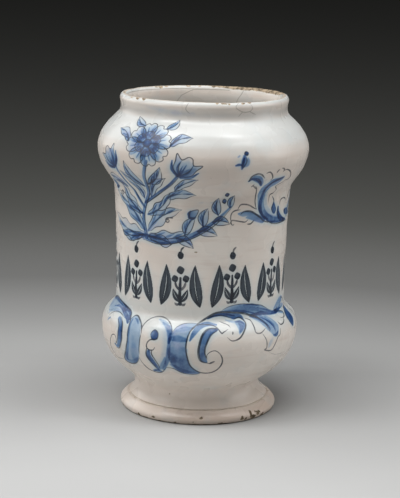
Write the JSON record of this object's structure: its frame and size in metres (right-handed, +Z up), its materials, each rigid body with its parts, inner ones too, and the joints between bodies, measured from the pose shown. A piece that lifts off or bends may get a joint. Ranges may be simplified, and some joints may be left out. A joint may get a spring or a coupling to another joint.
{
  "type": "pharmacy jar",
  "caption": "Waisted open jar with two swelling bands, a splayed hollow foot and a narrow grooved neck, tin-glazed white with blue painted scrolls.",
  "frame": {"origin": "centre of the foot's resting ring, on the surface that the jar stands on", "axes": "+Z up along the axis that the jar was turned on; -Y faces the viewer of the picture"},
  "size_m": [0.1852, 0.1852, 0.28],
  "materials": {
    "tin_glaze": "glossy white tin glaze painted in cobalt blue",
    "fired_slip": "bare fired earthenware slip"
  },
  "bodies": {
    "root": {"foot": "tin_glaze", "lower_body": "tin_glaze", "waist": "tin_glaze", "upper_body": "tin_glaze", "neck": "tin_glaze", "foot_slip_ring": "fired_slip", "lower_slip_ring": "fired_slip", "waist_slip_ring": "fired_slip", "upper_slip_ring": "fired_slip"}
  },
  "joints": []
}
